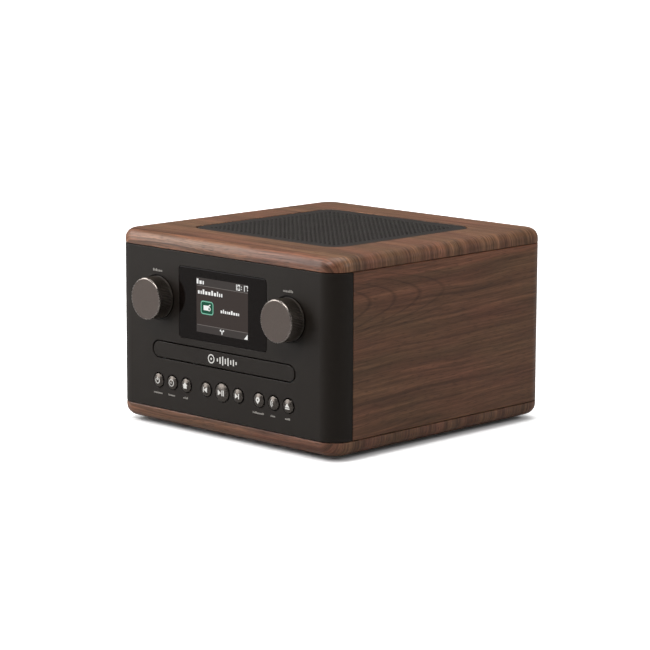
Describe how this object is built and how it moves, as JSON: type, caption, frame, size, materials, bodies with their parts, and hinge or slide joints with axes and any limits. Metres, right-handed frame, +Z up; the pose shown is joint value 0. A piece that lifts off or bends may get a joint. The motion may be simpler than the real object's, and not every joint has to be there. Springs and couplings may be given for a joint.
{
  "type": "tabletop radio",
  "caption": "Wood-cased tabletop digital radio with disc drawer, colour display, two knobs, front keys, upward-firing speakers and a telescopic aerial at the back.",
  "frame": {"origin": "on the surface the feet stand on, at the centre of the bounding box in plan", "axes": "+Z up, -Y out of the front with the display, keys and knobs, +X to the right seen from the front"},
  "size_m": [0.244, 0.274, 0.1568],
  "materials": {
    "walnut": "satin walnut veneer",
    "front_plastic": "matte black, fine grain",
    "rear_plastic": "matte black",
    "tray_plastic": "matte black",
    "grey_plastic": "moulded grey",
    "white_plastic": "natural acetal",
    "black_screw": "black zinc",
    "foot_rubber": "matte",
    "grille_metal": "satin dark grey, perforated",
    "fibreboard": "painted black fibreboard",
    "zinc_steel": "zinc plated",
    "cone_paper": "treated paper",
    "window_glass": "polished smoked window",
    "circuit_board": "solder mask",
    "knob_metal": "satin anodised, dark bronze",
    "key_metal": "satin dark bronze",
    "chrome": "polished",
    "brass": "turned"
  },
  "bodies": {
    "root": {"top_panel": "walnut", "bottom_panel": "walnut", "side_panel_left": "walnut", "side_panel_right": "walnut", "front_panel": "front_plastic", "rear_panel": "rear_plastic", "rear_screw_left": "black_screw", "rear_screw_right": "black_screw", "foot_front_left": "foot_rubber", "foot_front_right": "foot_rubber", "foot_back_left": "foot_rubber", "foot_back_right": "foot_rubber", "speaker_grille": "grille_metal", "speaker_baffle": "fibreboard", "speaker_left_basket": "zinc_steel", "speaker_right_basket": "zinc_steel", "display_lens": "window_glass", "display_module": "grey_plastic", "display_board": "circuit_board", "volume_encoder": "zinc_steel", "select_encoder": "zinc_steel", "key_board": "circuit_board", "loader_frame": "grey_plastic", "loader_motor": "zinc_steel", "clamp_bridge": "zinc_steel", "main_board": "circuit_board", "dc_jack": "rear_plastic", "audio_jacks": "rear_plastic", "aerial_socket": "brass"},
    "tray": {"disc_tray": "tray_plastic", "drawer_front": "front_plastic"},
    "tray_gear": {"tray_gear": "white_plastic"},
    "motor_pulley": {"motor_pulley": "brass"},
    "deck": {"pickup_deck": "grey_plastic", "spindle_motor": "zinc_steel", "sled_rail_left": "chrome", "sled_rail_right": "chrome"},
    "turntable": {"turntable": "tray_plastic"},
    "sled": {"laser_pickup": "tray_plastic"},
    "clamp": {"disc_clamp": "white_plastic"},
    "volume_knob": {"volume_knob": "knob_metal", "volume_shaft": "zinc_steel"},
    "select_wheel": {"select_wheel": "white_plastic"},
    "select_knob": {"select_knob": "knob_metal", "select_shaft": "zinc_steel"},
    "cone_left": {"speaker_left_cone": "cone_paper"},
    "cone_right": {"speaker_right_cone": "cone_paper"},
    "aerial_knuckle": {"aerial_knuckle": "rear_plastic"},
    "mast_base": {"aerial_mast_base": "chrome"},
    "mast_middle": {"aerial_mast_middle": "chrome"},
    "mast_tip": {"aerial_mast_tip": "chrome"},
    "key_standby": {"key_standby": "key_metal"},
    "key_source": {"key_source": "key_metal"},
    "key_home": {"key_home": "key_metal"},
    "key_previous": {"key_previous": "key_metal"},
    "key_play_pause": {"key_play_pause": "key_metal"},
    "key_next": {"key_next": "key_metal"},
    "key_presets": {"key_presets": "key_metal"},
    "key_pair": {"key_pair": "key_metal"},
    "key_eject": {"key_eject": "key_metal"}
  },
  "joints": [
    {"name": "tray_slide", "type": "slide", "parent": "root", "child": "tray", "axis": [0, -1, 0], "range_m": [0, 0.13]},
    {"name": "tray_gear_spin", "type": "hinge", "parent": "root", "child": "tray_gear", "pos_m": [-0.0475, -0.105, 0.055], "axis": [0, 0, 1], "range_deg": [0, 712]},
    {"name": "motor_pulley_spin", "type": "hinge", "parent": "root", "child": "motor_pulley", "pos_m": [-0.0175, -0.101, 0.05], "axis": [0, 0, 1], "range_deg": [0, 1625]},
    {"name": "deck_lift", "type": "hinge", "parent": "root", "child": "deck", "pos_m": [0, 0.06, 0.052], "axis": [-1, 0, 0], "range_deg": [0, 5]},
    {"name": "turntable_spin", "type": "hinge", "parent": "deck", "child": "turntable", "pos_m": [0, -0.05157, 0.04224], "axis": [0, -0.0872, 0.9962], "continuous": true},
    {"name": "sled_slide", "type": "slide", "parent": "deck", "child": "sled", "axis": [0, 0.9962, 0.0872], "range_m": [0, 0.033]},
    {"name": "clamp_spin", "type": "hinge", "parent": "root", "child": "clamp", "pos_m": [0, -0.052, 0.078], "axis": [0, 0, 1], "continuous": true},
    {"name": "volume_turn", "type": "hinge", "parent": "root", "child": "volume_knob", "pos_m": [-0.073, -0.13, 0.1057], "axis": [0, -1, 0], "continuous": true},
    {"name": "select_turn", "type": "hinge", "parent": "root", "child": "select_wheel", "pos_m": [0.073, -0.117, 0.1057], "axis": [0, -1, 0], "continuous": true},
    {"name": "select_push", "type": "slide", "parent": "select_wheel", "child": "select_knob", "axis": [0, 1, 0], "range_m": [0, 0.0005], "stiffness_N_per_m": 4000, "springref_m": -0.0005},
    {"name": "key_standby_press", "type": "slide", "parent": "root", "child": "key_standby", "axis": [0, 1, 0], "range_m": [0, 0.0008], "stiffness_N_per_m": 1200, "springref_m": -0.0004},
    {"name": "key_source_press", "type": "slide", "parent": "root", "child": "key_source", "axis": [0, 1, 0], "range_m": [0, 0.0008], "stiffness_N_per_m": 1200, "springref_m": -0.0004},
    {"name": "key_home_press", "type": "slide", "parent": "root", "child": "key_home", "axis": [0, 1, 0], "range_m": [0, 0.0008], "stiffness_N_per_m": 1200, "springref_m": -0.0004},
    {"name": "key_previous_press", "type": "slide", "parent": "root", "child": "key_previous", "axis": [0, 1, 0], "range_m": [0, 0.0008], "stiffness_N_per_m": 1200, "springref_m": -0.0004},
    {"name": "key_play_pause_press", "type": "slide", "parent": "root", "child": "key_play_pause", "axis": [0, 1, 0], "range_m": [0, 0.0008], "stiffness_N_per_m": 1200, "springref_m": -0.0004},
    {"name": "key_next_press", "type": "slide", "parent": "root", "child": "key_next", "axis": [0, 1, 0], "range_m": [0, 0.0008], "stiffness_N_per_m": 1200, "springref_m": -0.0004},
    {"name": "key_presets_press", "type": "slide", "parent": "root", "child": "key_presets", "axis": [0, 1, 0], "range_m": [0, 0.0008], "stiffness_N_per_m": 1200, "springref_m": -0.0004},
    {"name": "key_pair_press", "type": "slide", "parent": "root", "child": "key_pair", "axis": [0, 1, 0], "range_m": [0, 0.0008], "stiffness_N_per_m": 1200, "springref_m": -0.0004},
    {"name": "key_eject_press", "type": "slide", "parent": "root", "child": "key_eject", "axis": [0, 1, 0], "range_m": [0, 0.0008], "stiffness_N_per_m": 1200, "springref_m": -0.0004},
    {"name": "cone_left_travel", "type": "slide", "parent": "root", "child": "cone_left", "axis": [0, 0, 1], "range_m": [-0.0015, 0.0015], "stiffness_N_per_m": 1800},
    {"name": "cone_right_travel", "type": "slide", "parent": "root", "child": "cone_right", "axis": [0, 0, 1], "range_m": [-0.0015, 0.0015], "stiffness_N_per_m": 1800},
    {"name": "aerial_turn", "type": "hinge", "parent": "root", "child": "aerial_knuckle", "pos_m": [-0.08, 0.125, 0.128], "axis": [0, -1, 0], "range_deg": [0, 180]},
    {"name": "aerial_fold", "type": "hinge", "parent": "aerial_knuckle", "child": "mast_base", "pos_m": [-0.08, 0.133, 0.128], "axis": [0, 0, 1], "range_deg": [0, 90]},
    {"name": "mast_pull", "type": "slide", "parent": "mast_base", "child": "mast_middle", "axis": [1, 0, 0], "range_m": [0, 0.115]},
    {"name": "mast_tip_pull", "type": "slide", "parent": "mast_middle", "child": "mast_tip", "axis": [1, 0, 0], "range_m": [0, 0.115]}
  ],
  "couplings": [
    {"joint": "tray_gear_spin", "follows": "tray_slide", "rad_per_m": 95.238},
    {"joint": "motor_pulley_spin", "follows": "tray_slide", "rad_per_m": 217.69},
    {"joint": "mast_tip_pull", "follows": "mast_pull", "ratio": 1}
  ]
}
